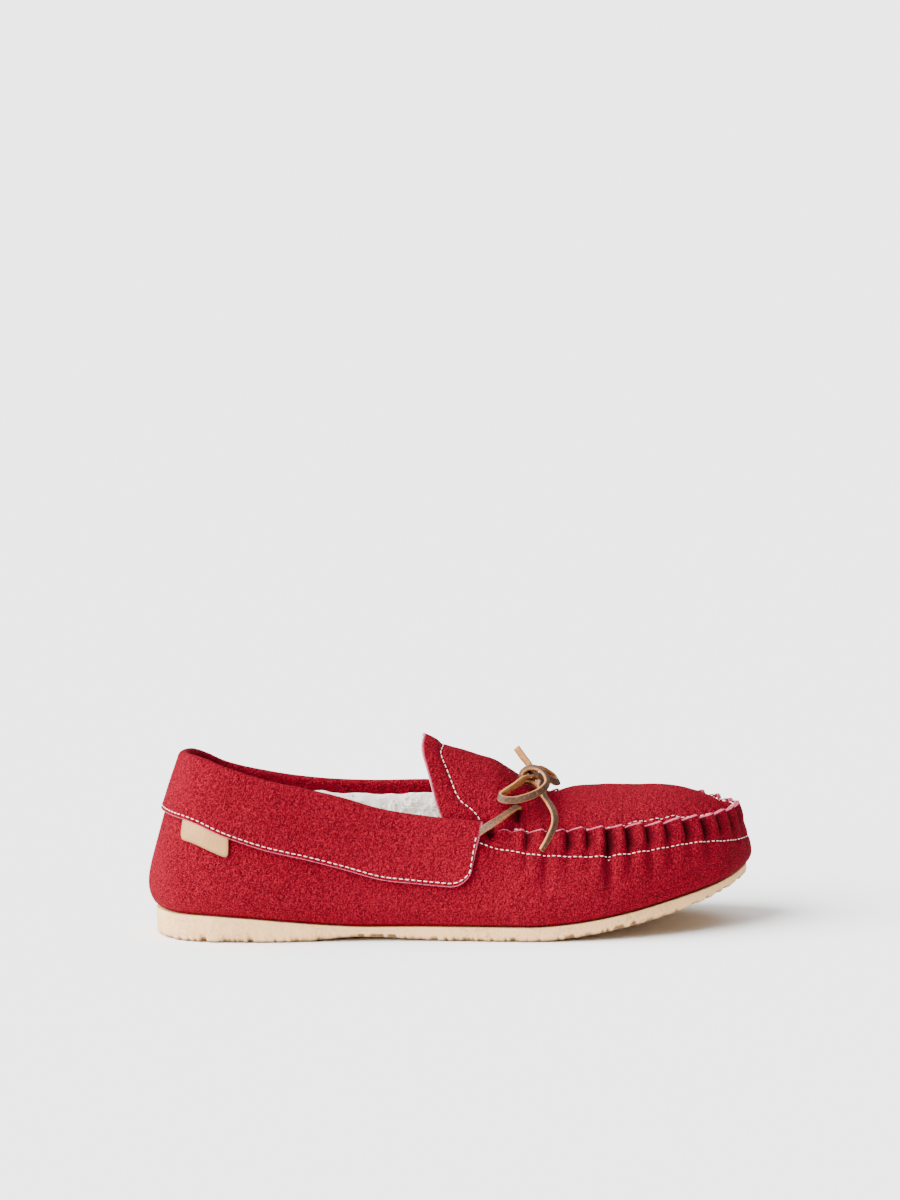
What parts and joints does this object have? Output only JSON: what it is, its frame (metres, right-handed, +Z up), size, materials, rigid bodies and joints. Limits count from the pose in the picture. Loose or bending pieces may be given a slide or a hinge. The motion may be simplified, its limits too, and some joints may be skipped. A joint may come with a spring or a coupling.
{
  "type": "moccasin slipper",
  "caption": "Right-foot moccasin slipper with a gathered apron seam, folded collar, leather lace tied in a bow and a thin crepe sole.",
  "frame": {"origin": "on the floor, under the middle of the slipper's bounding box", "axes": "+X towards the toe, +Y to the medial side of this right shoe, +Z up from the floor"},
  "size_m": [0.2602, 0.0922, 0.0841],
  "materials": {
    "suede": "red suede with a short nap",
    "crepe_rubber": "matt cream crepe",
    "footbed": "cream fleece",
    "tab_leather": "smooth pale tan leather",
    "lace_leather": "oiled brown leather with pale cut edges"
  },
  "bodies": {
    "root": {"outsole": "crepe_rubber", "insole": "footbed", "upper": "suede", "tongue": "suede", "collar_cuff": "suede", "side_tab": "tab_leather", "lace_run_lateral": "lace_leather", "lace_run_medial": "lace_leather", "lace_knot": "lace_leather", "lace_loop_near": "lace_leather", "lace_loop_far": "lace_leather", "lace_end_up": "lace_leather", "lace_end_down": "lace_leather"}
  },
  "joints": []
}
